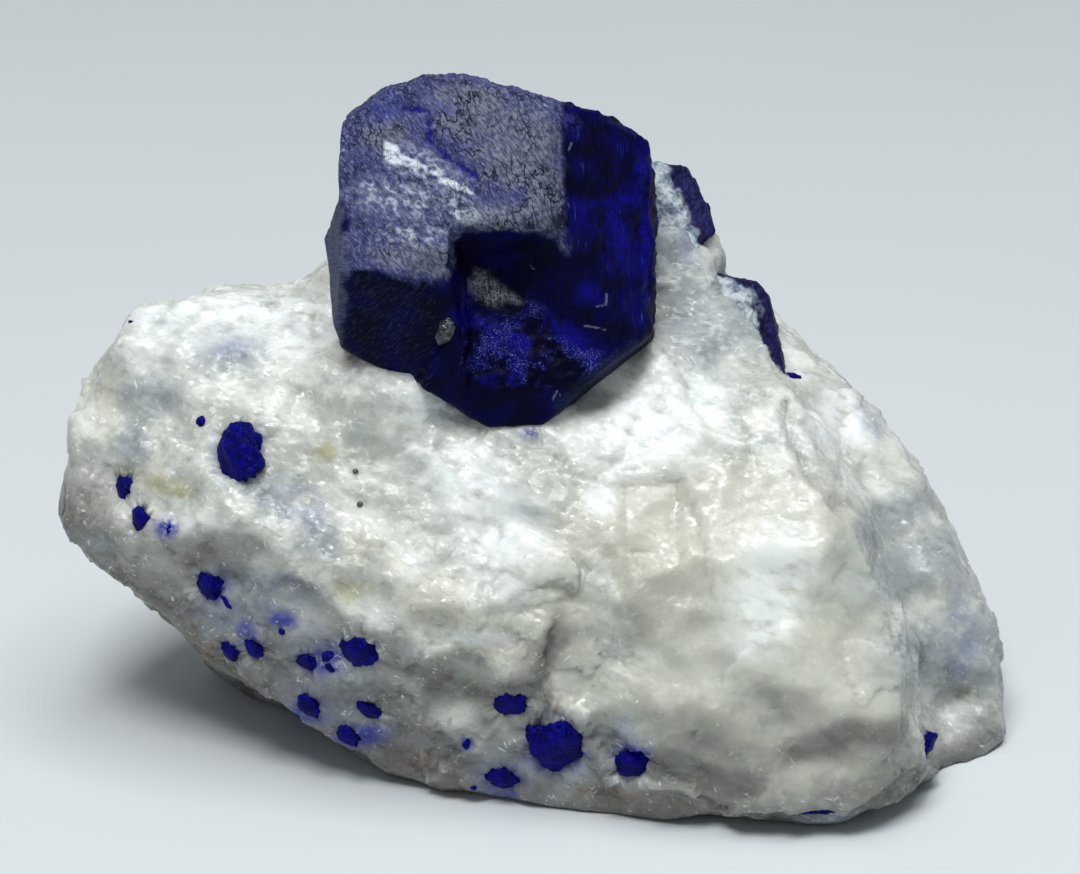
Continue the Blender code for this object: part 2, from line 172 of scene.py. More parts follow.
def apply_modifier(piece, kind, **settings):
    """Adds a modifier and applies it."""
    step = piece.modifiers.new(kind.lower(), kind)
    for name, value in settings.items():
        setattr(step, name, value)
    select_only(piece)
    bpy.ops.object.modifier_apply(modifier=step.name)


def carving_copy(node, name, step, wear):
    """A copy of a model's node as one fine skin with worn edges, ready to be carved."""
    source = frame["nodes"][node]
    piece = bpy.data.objects.new(name, source.data.copy())
    bpy.context.scene.collection.objects.link(piece)
    piece.data.materials.clear()
    select_only(piece)
    bpy.ops.object.mode_set(mode="EDIT")
    bpy.ops.mesh.select_all(action="SELECT")
    bpy.ops.mesh.remove_doubles(threshold=0.001 * MM)
    bpy.ops.object.mode_set(mode="OBJECT")
    apply_modifier(piece, "REMESH", mode="VOXEL", voxel_size=step * MM)
    if wear:
        apply_modifier(piece, "SMOOTH", factor=0.5, iterations=wear)
    return piece


def hand_over(piece, nodes, finish):
    """Finishes a piece: its material, the body that it rides on and the nodes that it stands for."""
    piece.data.materials.clear()
    piece.data.materials.append(finish)
    select_only(piece)
    bpy.ops.object.shade_smooth()
    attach(piece, BODY)
    if nodes:
        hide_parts(*nodes)


def clouds(points, size, seed, octaves=3):
    """A soft random pattern from about -1 to 1 whose blobs have the given size in millimetres."""
    shift = Vector((seed * 7.31, seed * 3.17, seed * 5.93))
    scaled = points / (size * MM)
    return np.array([noise.fractal(Vector(p) + shift, 1.0, 2.0, octaves) for p in scaled])


def broken_faces(points, size, step, slope, seed):
    """Relief of broken cleavage: cells of the given size, each flat, with its own height and slope."""
    draw = np.random.default_rng(seed)
    low = points.min(0) - size * MM
    high = points.max(0) + size * MM
    count = int(np.prod((high - low) / (size * MM)))
    middles = low + draw.random((count, 3)) * (high - low)
    slopes = draw.normal(size=(count, 3))
    slopes /= np.linalg.norm(slopes, axis=1)[:, None]
    heights = draw.uniform(-1, 1, count)
    tree = KDTree(count)
    for number, middle in enumerate(middles):
        tree.insert(middle, number)
    tree.balance()
    owner = np.array([tree.find(p)[1] for p in points])
    tilt = ((points - middles[owner]) * slopes[owner]).sum(1) / MM
    return step * heights[owner] + slope * tilt


def beside(x, v, line):
    """How far points lie from a line, positive on its left, and how far along it, from 0 to 1."""
    nearest = np.full(x.shape, np.inf)
    along = np.zeros(x.shape)
    lengths = [math.dist(a, b) for a, b in zip(line, line[1:])]
    walked = 0.0
    for (x0, v0), (x1, v1), length in zip(line, line[1:], lengths):
        way_x, way_v = (x1 - x0) / length, (v1 - v0) / length
        share = np.clip(((x - x0) * way_x + (v - v0) * way_v) / length, 0, 1)
        off_x = x - x0 - share * length * way_x
        off_v = v - v0 - share * length * way_v
        distance = np.hypot(off_x, off_v)
        side = np.where(way_x * off_v - way_v * off_x >= 0, 1.0, -1.0)
        closer = distance < np.abs(nearest)
        nearest = np.where(closer, distance * side, nearest)
        along = np.where(closer, (walked + share * length) / sum(lengths), along)
        walked += length
    return nearest, along


def faded_ends(along, share=0.12):
    """1 along a line, falling to 0 at both its ends."""
    return smooth_step(np.minimum(along, 1 - along), 0.0, share)


def ledge(x, v, line, height, reach):
    """A step along a line: its left side stands proud at the line and falls back over its reach."""
    off, along = beside(x, v, line)
    rise = smooth_step(off, -0.15, 0.15)
    return height * rise * np.exp(-((np.maximum(off, 0) / reach) ** 2)) * faded_ends(along)


def groove(x, v, line, depth, width):
    """A crack along a line."""
    off, along = beside(x, v, line)
    return -depth * np.exp(-((off / width) ** 2)) * faded_ends(along)


def inside(x, v, outline):
    """How far points lie inside a closed outline on the board; negative outside."""
    closed = outline + outline[:1]
    distance, _ = beside(x, v, closed)
    within = np.zeros(x.shape, bool)
    for (x0, v0), (x1, v1) in zip(closed, closed[1:]):
        if v0 == v1:
            continue
        crossing = x0 + (v - v0) * (x1 - x0) / (v1 - v0)
        within ^= ((v0 > v) != (v1 > v)) & (x < crossing)
    return np.where(within, 1, -1) * np.abs(distance)


def patches(x, v, spots):
    """Soft patches, each given by its middle, half length, half width and turn; the strongest counts."""
    total = np.zeros(x.shape)
    for middle_x, middle_v, length, width, turn in spots:
        cos, sin = math.cos(math.radians(turn)), math.sin(math.radians(turn))
        along = (x - middle_x) * cos + (v - middle_v) * sin
        across = (v - middle_v) * cos - (x - middle_x) * sin
        reach = np.hypot(along / length, across / width)
        total = np.maximum(total, 1 - smooth_step(reach, 0.35, 1.35))
    return total


def skin_tree(pieces):
    """The surface of several pieces as one tree, for nearest points and rays."""
    corners, faces = [], []
    for piece in pieces:
        start = len(corners)
        corners.extend(vertex.co.copy() for vertex in piece.data.vertices)
        faces.extend([start + corner for corner in face.vertices] for face in piece.data.polygons)
    return BVHTree.FromPolygons(corners, faces)


def grip(marble, pieces, overlap, near, far):
    """Draws the marble's rim onto crystals, so that no gap shows around them.

    Gives for each of its points 0 where it was drawn in, rising to 1 out of reach.
    """
    tree = skin_tree(pieces)
    points = points_of(marble)
    free = np.ones(len(points))
    reached = np.zeros(len(points), bool)
    for piece in pieces:
        skin = points_of(piece)
        reached |= ((points > skin.min(0) - far * MM) & (points < skin.max(0) + far * MM)).all(1)
    for index in np.flatnonzero(reached):
        place, normal, _, distance = tree.find_nearest(points[index], far * MM)
        if place is None:
            continue
        free[index] = smooth_step(distance / MM, near, far)
        target = np.array(place - normal * (overlap * MM))
        points[index] += (target - points[index]) * (1 - free[index])
    move_points(marble, points)
    return free


# The marble

# Broken faces, coarse to small: their size, the height of their steps, their slope and the seed
COARSE_BREAKS = (5.0, 0.18, 0.06, 11)
MEDIUM_BREAKS = (2.2, 0.09, 0.08, 12)
SMALL_BREAKS = (1.1, 0.03, 0.08, 13)

# Forms of the marble's front, as lines on the board
FLAKE_LIP = [(2.0, -10.6), (2.6, -9.8), (2.4, -8.7), (1.3, -7.8), (0.3, -7.6), (-1.0, -6.3), (-2.4, -5.6)]
FLAKE_UNDER = [(-4.2, -11.2), (-1.5, -11.4), (0.6, -10.9), (2.0, -10.4)]
CREVICE = [(1.6, -11.0), (1.1, -12.6), (0.7, -14.3), (0.4, -16.2), (0.1, -18.0), (0.2, -20.0)]
WINDOW_TOP = [(9.7, -2.7), (5.0, -2.8)]
WINDOW_SIDE = [(11.8, -11.4), (11.2, -7.5), (10.5, -4.8), (9.6, -2.9)]
LONG_CRACK = [(3.9, -7.2), (4.6, -9.0), (6.0, -11.8), (6.9, -13.9)]
BLOCK_TOP = [(14.4, -0.8), (11.0, 0.6), (10.0, 1.8), (9.0, 4.6), (7.6, 6.2)]
TOWER_FOOT = [(16.3, 2.6), (16.9, 0.2), (18.4, -2.6), (20.6, -5.6)]
RIDGE_EDGE = [(21.6, -22.5), (23.8, -20.0), (24.0, -16.0), (22.6, -10.6), (20.6, -6.2), (17.8, -1.4)]
RIGHT_FOLD = [(27.0, -14.0), (25.4, -9.0), (23.0, -4.2), (20.0, 0.6)]
BLOCK_FOOT = [(3.0, -23.0), (9.3, -23.3), (13.1, -24.7), (20.3, -24.9), (23.5, -22.8), (25.2, -21.2)]

# Steps of the front: the line, their height and how far the raised side falls back
LEDGES = [
    (FLAKE_LIP, 1.15, 3.2),
    (FLAKE_UNDER, 0.45, 1.6),
    (WINDOW_TOP, -0.5, 6.0),
    (WINDOW_SIDE, -0.35, 4.0),
    (LONG_CRACK, -0.3, 3.0),
    (BLOCK_TOP, 0.6, 3.0),
    (RIDGE_EDGE, 0.5, 2.5),
    (BLOCK_FOOT, 0.7, 3.0),
]

# Cracks of the front: the line, their depth and their width
GROOVES = [
    (CREVICE, 0.55, 0.4),
    (TOWER_FOOT, 1.1, 0.5),
    (RIGHT_FOLD, 0.6, 0.7),
]
# Cracks that get painted shade along them
SHADED_CREASES = [TOWER_FOOT, CREVICE]

# Areas of the marble's front, as outlines on the board, or as soft patches: middle, half length, half width
# and turn in degrees
SMOOTH_PATCHES = [(21.0, 1.0, 7.0, 4.0, -50), (26.0, -8.0, 7.0, 4.0, -65), (-3.5, -5.5, 3.0, 3.5, 0)]
BLOCK_FACE = [
    (3.3, -4.2), (6.7, -2.9), (12.9, -1.2), (20.3, -4.3), (21.6, -6.3), (22.4, -10.7),
    (23.8, -15.9), (24.4, -18.3), (23.5, -22.8), (20.3, -24.2), (13.3, -23.5), (8.0, -21.5),
    (6.7, -14.2), (4.7, -8.9), (3.8, -6.2),
]
BLOCK_CROWN = [
    (1.3, -0.2), (4.0, 2.5), (7.7, 6.1), (9.6, 3.6), (10.2, 1.9), (12.3, 1.3),
    (13.3, 0.1), (12.9, -1.2), (10.0, -2.7), (4.7, -2.9), (2.7, -2.2),
]
WINDOW = [
    (4.7, -2.9), (9.6, -2.9), (10.4, -4.8), (11.0, -7.2), (11.5, -10.9), (9.3, -13.5),
    (7.0, -14.2), (5.5, -10.9), (4.4, -8.0),
]
LOWER_RIM = [
    (-32.0, -5.5), (-31.0, -8.2), (-27.3, -10.9), (-24.7, -13.2), (-21.7, -14.5), (-20.0, -15.9),
    (-18.0, -18.2), (-15.3, -20.2), (-12.7, -21.2), (-9.3, -22.3), (-5.3, -23.5), (-1.3, -24.5),
    (2.7, -25.0), (7.3, -25.7), (13.3, -25.2), (16.0, -25.5), (19.3, -25.9), (23.3, -24.2),
    (30.7, -21.3),
]
# Whiter calcite, and also painted light where the tops are lit
SNOW_AND_LIGHT_PATCHES = [
    (-23.0, 8.5, 6.5, 3.4, 12), (-18.0, 7.7, 5.0, 2.6, 0), (-4.7, -2.9, 3.7, 3.0, 0),
    (-2.7, -7.2, 3.3, 4.0, 0), (7.3, 1.1, 4.0, 3.3, 0), (4.0, -4.3, 1.3, 1.2, 0),
    (15.3, -10.2, 3.0, 5.3, -20), (11.0, 2.5, 2.0, 2.0, 0), (20.0, 1.1, 2.0, 3.3, -50),
    (-7.3, 2.5, 3.0, 1.7, -20), (-4.0, -13.5, 2.7, 0.5, 0),
]
CREAM_PATCHES = [
    (-6.0, -10.9, 4.0, 2.3, 10), (5.3, -17.5, 5.3, 4.7, 0), (-28.0, -10.2, 3.3, 2.0, -35),
    (-2.7, -14.9, 5.3, 4.0, 0), (1.3, -13.5, 4.0, 6.0, 0), (-29.3, 3.8, 1.3, 3.3, 0),
    (2.7, -6.9, 2.7, 4.0, 0), (-12.7, -8.2, 3.3, 2.0, 0),
]
# Grey tints; on the right flank and the lower left also painted shade
COOL_AND_SHADE_PATCHES = [
    (-20.9, 5.7, 3.2, 1.7, 0), (-25.9, 2.7, 2.4, 1.6, 0), (-27.1, -0.5, 1.2, 2.0, 0),
    (-18.1, -4.0, 2.7, 1.3, -35), (-14.8, -6.5, 2.4, 1.6, -50), (10.1, 7.8, 2.4, 5.3, 10),
    (13.0, 8.5, 2.0, 4.0, 20), (8.7, 13.5, 1.7, 3.3, 0), (25.7, -8.2, 2.1, 6.7, -68),
    (28.0, -14.6, 3.2, 6.5, -80), (-14.0, -16.9, 4.7, 2.7, -20), (-9.3, -20.5, 4.0, 1.7, -10),
    (-19.3, -10.9, 3.3, 2.0, -40), (23.3, -5.5, 1.6, 4.0, -60), (-0.8, -4.9, 0.5, 1.5, 80),
]
BROWN_PATCHES = [
    (-23.9, -13.0, 2.3, 0.9, -35), (-18.5, -17.5, 2.7, 1.3, -48), (-22.3, -14.1, 1.7, 0.8, -30),
    (-28.7, -9.5, 1.3, 0.8, -40), (-4.7, -23.7, 3.3, 0.8, -15), (-14.0, -20.5, 2.7, 1.1, -30),
    (0.8, -17.9, 0.7, 1.2, 0), (16.3, 2.3, 0.3, 0.3, 0), (5.3, -23.9, 6.0, 0.8, -5),
    (-8.0, -21.9, 3.3, 1.3, -15), (-16.0, -16.9, 2.0, 1.6, -40),
]
OLIVE_PATCHES = [
    (-14.3, -1.0, 0.8, 0.8, 0), (-24.7, -3.3, 2.0, 0.7, -15), (-27.3, -2.2, 1.2, 0.5, 0),
    (28.3, -17.1, 0.5, 0.4, 0), (-4.7, -16.2, 0.3, 0.3, 0), (-4.5, -17.1, 0.3, 0.3, 0),
    (-12.7, -10.3, 1.6, 0.9, 0), (-24.0, -3.7, 0.5, 0.5, 0),
]
STAIN_PATCHES = [
    (-24.9, -6.1, 1.0, 0.8, 0), (-17.2, -12.3, 0.7, 1.1, 80), (-14.3, -14.9, 1.6, 1.0, 0),
    (-15.5, -18.3, 1.1, 0.9, 0), (-11.9, -19.9, 2.0, 0.9, 10), (-21.5, -10.2, 0.8, 1.1, 60),
    (-2.4, -23.1, 1.5, 1.2, 0), (6.2, -21.0, 0.8, 1.2, 90), (-0.7, 0.4, 0.8, 0.4, 0),
    (-9.6, 4.7, 0.6, 0.4, 20), (-19.3, -13.3, 0.7, 1.3, 30), (-4.9, -20.5, 0.5, 0.5, 0),
    (1.1, -20.9, 2.1, 1.8, 0),
]
BLUE_HAZE_PATCHES = [
    (28.4, -11.5, 1.1, 3.0, -10), (28.1, -14.5, 1.3, 2.1, 0), (22.0, 0.7, 0.8, 1.6, 20),
    (-20.3, 5.7, 2.0, 0.8, 10), (10.0, 13.1, 1.3, 2.0, 0), (18.8, -25.4, 2.7, 0.6, 3),
    (-17.2, -10.9, 1.7, 2.3, 60), (-14.0, -14.2, 3.3, 2.0, -20), (-14.7, -18.5, 4.0, 2.3, -30),
    (-21.0, -11.5, 2.0, 2.9, 40), (-2.3, -22.5, 2.7, 2.0, 0), (6.0, -20.5, 1.7, 2.4, 0),
    (-16.0, -4.2, 2.7, 1.5, -40), (1.1, -20.9, 2.9, 2.5, 0), (-20.2, -1.2, 2.4, 2.3, 0),
]

# What the finish reads of them
MARBLE_TINTS_LIGHT_AND_SHADE = {
    "snow_and_light": SNOW_AND_LIGHT_PATCHES,
    "cool_and_shade": COOL_AND_SHADE_PATCHES,
    "brown": BROWN_PATCHES,
    "olive": OLIVE_PATCHES,
    "stain": STAIN_PATCHES,
    "blue_haze": BLUE_HAZE_PATCHES,
}

# Grime and painted shade rise this far above the lower rim on the right, and by so much more on the left
GRIME_AND_SHADE_REACH = 4.5
GRIME_AND_SHADE_MORE = 3.0


def carve_marble(crystals, grains):
    """The matrix: broken cleavage all over, and the ledges and cracks of its front."""
    marble = carving_copy("matrix", "marble_matrix", MARBLE_STEP, MARBLE_WEAR)
    free = grip(marble, crystals, *CRYSTAL_GRIP) * grip(marble, grains, *GRAIN_GRIP)
    points, normals = points_of(marble), normals_of(marble)
    x, v, _ = seen(points)
    front = smooth_step(normals @ OUT, 0.0, 0.3)
    frayed = 0.8 * clouds(points, 2.0, 7, 4)
    block = smooth_step(inside(x, v, BLOCK_FACE) + frayed, -1.2, 1.6) * front
    crown = smooth_step(inside(x, v, BLOCK_CROWN) + 0.2 * frayed, -1.0, 1.0) * front
    smooth = np.maximum(np.maximum(block, 0.7 * crown), 0.7 * patches(x, v, SMOOTH_PATCHES) * front)

    bent = points + np.column_stack([clouds(points, 2.5, seed) for seed in (1, 2, 3)]) * 0.6 * MM
    relief = broken_faces(bent, *COARSE_BREAKS) * (1 - 0.4 * block)
    relief += broken_faces(bent, *MEDIUM_BREAKS) * (1 - 0.5 * smooth)
    relief += broken_faces(bent, *SMALL_BREAKS) * (0.7 - 0.5 * smooth)
    relief += 0.06 * clouds(points, 1.2, 5) * (1 - 0.5 * smooth)
    forms = sum(ledge(x, v, *step) for step in LEDGES) + sum(groove(x, v, *crack) for crack in GROOVES)
    off_base = smooth_step(points[:, 2] / MM, 0.2, 1.4)
    push(marble, (relief + forms * front) * off_base * free)
    points = points_of(marble)
    points[:, 2] = np.maximum(points[:, 2], 0.0)
    move_points(marble, points)

    # Painted shade: dark lines along the cracks at the tower's foot and along the crevice
    crease_shade = np.zeros(len(points))
    for crease in SHADED_CREASES:
        distance, along = beside(x, v, crease)
        distance = np.abs(distance + 0.4 * frayed)
        crease_shade = np.maximum(crease_shade, (1 - smooth_step(distance, 0.1, 0.8)) * faded_ends(along))
    # Painted shade: darker towards the lower rim, with some grime there too, and on faces that turn down
    above_rim, _ = beside(x, v, LOWER_RIM)
    reach = GRIME_AND_SHADE_REACH + GRIME_AND_SHADE_MORE * smooth_step(-x, 2.0, 8.0)
    grime_and_shade = 1 - smooth_step((above_rim + frayed) / reach, 0.0, 1.0)
    underside_shade = smooth_step(-normals[:, 2], -0.35, 0.35)
    paint(marble, "crease_shade", crease_shade * front)
    paint(marble, "smooth", smooth)
    paint(marble, "crown", crown)
    paint(marble, "cream", np.maximum(patches(x, v, CREAM_PATCHES), block) * front)
    paint(marble, "window", smooth_step(inside(x, v, WINDOW) + 0.2 * frayed, -0.8, 0.8) * front)
    paint(marble, "shade", np.maximum(grime_and_shade, underside_shade))
    for name, spots in MARBLE_TINTS_LIGHT_AND_SHADE.items():
        paint(marble, name, patches(x, v, spots) * front)
    return marble


# The crystals

# Areas of the big crystal, as outlines on the board or as soft patches
FRONT_AREA = [
    (-14.3, 23.8), (-14.3, 16.5), (-13.1, 15.8), (-12.8, 11.3), (-9.0, 10.7), (-6.7, 10.1),
    (-6.0, 10.9), (-6.0, 13.1), (-5.2, 13.7), (-0.5, 13.9), (1.1, 13.3), (1.8, 12.3),
    (1.7, 15.8), (1.5, 22.8), (-1.3, 25.1), (-9.3, 25.1),
]
STRIP_AREA = [(-14.7, 15.8), (-13.1, 16.3), (-12.8, 11.3), (-13.3, 6.1), (-14.7, 6.1)]
SIDE_AREA = [
    (1.7, 23.8), (1.7, 13.1), (4.0, 11.3), (5.2, 8.7), (6.7, 6.8), (8.7, 7.8),
    (8.7, 21.8),
]
LOWER_LEFT_AREA = [
    (-12.8, 11.3), (-9.0, 10.7), (-6.7, 10.1), (-6.9, 8.1), (-6.7, 5.8), (-7.3, 2.5),
    (-14.0, 5.8), (-13.3, 6.1),
]
FLOOR_AREA = [
    (-4.4, 11.4), (-2.1, 10.1), (0.1, 8.7), (1.1, 6.8), (4.0, 5.8), (3.3, 4.3),
    (0.3, 3.0), (-4.0, 3.3), (-5.5, 4.1), (-5.3, 6.8), (-5.1, 9.7),
]
BEVEL_AREA = [
    (8.0, 7.7), (4.7, 5.3), (2.3, 3.8), (1.1, 2.1), (1.1, 0.3), (5.3, 3.1),
    (9.3, 6.5),
]
GREY_PATCHES = [
    (-4.1, 10.5, 0.7, 1.2, 0), (-3.2, 9.7, 1.1, 0.9, -30), (-2.1, 9.4, 1.0, 0.35, -30),
]
GLOW_PATCHES = [
    (4.7, 15.7, 3.1, 0.5, 3), (3.5, 9.5, 1.3, 0.8, -10), (-4.4, 7.9, 0.8, 1.7, 80),
    (-1.3, 6.3, 0.9, 0.7, 0), (1.7, 7.1, 1.7, 0.8, -40), (4.8, 13.1, 1.5, 2.3, 0),
    (7.1, 13.1, 0.4, 4.0, 0), (-2.7, 3.8, 1.6, 0.5, 0), (6.7, 17.8, 0.7, 2.0, 0),
]
BLACK_PATCHES = [
    (2.9, 19.1, 0.8, 1.5, 90), (4.0, 20.5, 0.7, 1.1, 90), (1.3, 14.3, 0.7, 0.7, 0),
]
TINT_PATCHES = [
    (1.7, 21.1, 1.1, 0.6, -15), (-10.4, 21.8, 1.7, 0.9, 40), (-6.3, 21.9, 1.1, 0.7, 0),
]

# Lines of light marks: scratch lines, and the second is a painted highlight along the edge of a small step
SCRATCH_AND_HIGHLIGHT_LINES = [
    [(2.93, 7.40), (3.73, 7.27), (4.40, 7.13)],
    [(3.80, 8.67), (4.33, 8.80), (4.40, 9.53)],
    [(-0.67, 11.40), (-0.40, 11.20)],
    [(0.80, 2.40), (1.13, 3.07), (1.40, 2.73)],
    [(1.93, 19.13), (2.13, 19.60)],
    [(-4.00, 21.80), (-3.73, 22.60)],
]
CALCITE_PATCHES = [
    (-9.9, 18.9, 0.7, 1.0, 0), (-8.7, 18.3, 1.7, 0.4, -22), (-6.1, 17.0, 2.3, 0.3, -27),
]
HAZE_PATCHES = [
    (-9.3, 15.8, 3.3, 1.3, -8), (-5.7, 15.3, 2.1, 1.1, -15), (-7.7, 17.9, 2.7, 1.3, -27),
    (-11.0, 16.5, 1.2, 0.9, 0), (-8.0, 13.5, 2.7, 0.8, -5),
]
# Where the front face is greyer: its frosting and painted sheen
ASH_AND_SHEEN_PATCHES = [
    (-4.7, 21.8, 3.1, 2.0, -10), (-1.3, 19.5, 3.5, 3.1, 0), (0.4, 15.5, 1.5, 3.5, 0),
    (-2.7, 14.6, 3.1, 1.2, 0), (-7.3, 11.7, 4.4, 1.1, -8), (-10.3, 20.1, 1.7, 1.3, 0),
]
BLUE_CRACK = [(-9.0, 21.9), (-7.4, 21.7), (-7.4, 19.8), (-6.2, 18.7), (-4.3, 17.4)]

# The crystal's outlines that its finish reads
CRYSTAL_AREAS = {
    "strip": STRIP_AREA,
    "side": SIDE_AREA,
    "lower_left": LOWER_LEFT_AREA,
    "bevel": BEVEL_AREA,
}
CRYSTAL_TINTS = {"glow": GLOW_PATCHES, "black": BLACK_PATCHES, "tint": TINT_PATCHES}
FRONT_TINTS_AND_SHEEN = {"haze": HAZE_PATCHES, "ash_and_sheen": ASH_AND_SHEEN_PATCHES}

# How far from a scratch line, and from the line of the painted highlight, its mark fades to nothing, before
# the finish cuts it to a hairline
SCRATCH_AND_HIGHLIGHT_REACH = 0.4


def carve_main_crystal():
    """The big crystal: uneven faces, worn edges with nicks, and a crust of calcite in front."""
    crystal = carving_copy("main_crystal", "lazurite_main", CRYSTAL_STEP, CRYSTAL_WEAR)
    points, normals = points_of(crystal), normals_of(crystal)
    x, v, _ = seen(points)
    facing = smooth_step(normals @ OUT, -0.3, -0.05)
    frayed = 0.45 * clouds(points, 1.1, 27, 5)

    def area(outline, blur=0.25):
        return smooth_step(inside(x, v, outline) + frayed, -blur, blur) * facing

    front = area(FRONT_AREA)
    floor = area(FLOOR_AREA)
    relief = 0.16 * clouds(points, 5.0, 21) + 0.07 * clouds(points, 1.2, 22)
    relief += broken_faces(points, 0.8, 0.05, 0.10, 23) * (0.3 + floor)
    worn = smooth_step(normals @ UP, 0.1, 0.5) + smooth_step(x, 5.6, 7.0) * smooth_step(v, 6.0, 8.0)
    relief += (0.30 * clouds(points, 1.5, 24, 4) - 0.08) * np.minimum(worn, 1)
    calcite = patches(x, v, CALCITE_PATCHES) * front
    relief += 0.08 * calcite
    crack, _ = beside(x, v, BLUE_CRACK)
    relief -= 0.16 * np.exp(-((crack / 0.22) ** 2)) * front
    push(crystal, relief)

    crack = np.abs(crack) + 0.2 * clouds(points, 0.5, 28)
    # Light marks along each scratch line, and a painted highlight along the edge of a small step
    scratch_and_highlight_strength = np.zeros(len(points))
    for scratch in SCRATCH_AND_HIGHLIGHT_LINES:
        distance, _ = beside(x, v, scratch)
        scratch_and_highlight_strength = np.maximum(scratch_and_highlight_strength, np.maximum(1 - np.abs(distance) / SCRATCH_AND_HIGHLIGHT_REACH, 0) * facing)
    paint(crystal, "scratch_and_highlight_marks", scratch_and_highlight_strength)
    paint(crystal, "front", front)
    paint(crystal, "floor", floor)
    paint(crystal, "calcite", calcite)
    paint(crystal, "crack", (1 - smooth_step(crack, 0.0, 0.28)) * front)
    paint(crystal, "grey", patches(x, v, GREY_PATCHES) * floor)
    for name, outline in CRYSTAL_AREAS.items():
        paint(crystal, name, area(outline))
    for name, spots in CRYSTAL_TINTS.items():
        paint(crystal, name, patches(x, v, spots) * facing)
    for name, spots in FRONT_TINTS_AND_SHEEN.items():
        paint(crystal, name, patches(x, v, spots) * front)
    return crystal


# The small crystals are bare to the right of these lines, and marble has grown over them to the left
BACK_CRUST_EDGE = [(10.6, 13.0), (10.0, 14.6), (9.3, 16.2), (8.2, 18.2)]
SIDE_CRUST_EDGE = [
    (16.0, 2.6), (15.8, 4.4), (15.1, 5.9), (14.7, 7.2), (14.3, 9.2), (13.9, 10.0), (12.2, 10.6),
]
CRUST_HEIGHT = 0.15

# Where the random patterns of the small crystals and of the grains start
BACK_SEED = 31
SIDE_SEED = 35
FIRST_GRAIN_SEED = 40


def carve_small_crystal(node, name, crust_edge, seed):
    """One of the crystals on the shoulder, with a crust of marble over its front left."""
    crystal = carving_copy(node, name, SMALL_CRYSTAL_STEP, SMALL_CRYSTAL_WEAR)
    points = points_of(crystal)
    relief = 0.12 * clouds(points, 2.5, seed) + 0.05 * clouds(points, 0.7, seed + 1)
    relief += broken_faces(points, 0.7, 0.04, 0.10, seed + 2)
    x, v, _ = seen(points)
    crust, _ = beside(x, v, crust_edge)
    crust = smooth_step(crust + 0.5 * clouds(points, 0.8, seed + 3, 4), -0.25, 0.35)
    push(crystal, relief + CRUST_HEIGHT * crust)
    paint(crystal, "crust", crust)
    return crystal


def carve_grain(node, seed):
    """A grain of lazurite, broken nearly flush with the marble and with an uneven outline."""
    grain = carving_copy(node, node.replace("lazurite_grain", "grain"), GRAIN_STEP, 0)
    points = points_of(grain)
    middle = (points.min(0) + points.max(0)) / 2
    size = (points.max(0) - points.min(0)).mean() / 2 / MM
    before = np.linalg.norm(points - middle, axis=1).mean()
    apply_modifier(grain, "SMOOTH", factor=0.5, iterations=int(16 + 70 * size * size))
    offset = points_of(grain) - middle
    growth = GRAIN_GROWTH[0] + GRAIN_GROWTH[1] / size
    offset *= growth * before / np.linalg.norm(offset, axis=1).mean()
    outward = middle - HEART
    outward /= np.linalg.norm(outward)
    rise = np.maximum(offset @ outward, 0)
    offset -= outward * (rise * GRAIN_FLUSH)[:, None]
    move_points(grain, middle + offset)
    points, normals = points_of(grain), normals_of(grain)
    flat = 1 - smooth_step(normals @ outward, 0.5, 0.9) * 0.7
    uneven = 0.36 * clouds(points, size * 0.9, seed) + 0.12 * clouds(points, size * 0.35, seed + 50)
    push(grain, uneven * size * flat)
    return grain


# Finishes

class Value:
    """A socket of a material, wrapped so that sums and products on it add the nodes that work them out."""

    def __init__(self, finish, socket):
        self.finish = finish
        self.socket = socket

    def maths(self, operation, first, second):
        return self.finish.node("Math", {"operation": operation}, {0: first, 1: second})

    def __add__(self, other):
        return self.maths("ADD", self, other)

    __radd__ = __add__

    def __sub__(self, other):
        return self.maths("SUBTRACT", self, other)

    def __rsub__(self, other):
        return self.maths("SUBTRACT", other, self)

    def __mul__(self, other):
        return self.maths("MULTIPLY", self, other)

    __rmul__ = __mul__

    def highest(self, other):
        """The larger of two values."""
        return self.maths("MAXIMUM", self, other)

    def size(self):
        """The value without its sign."""
        return self.maths("ABSOLUTE", self, 0.0)


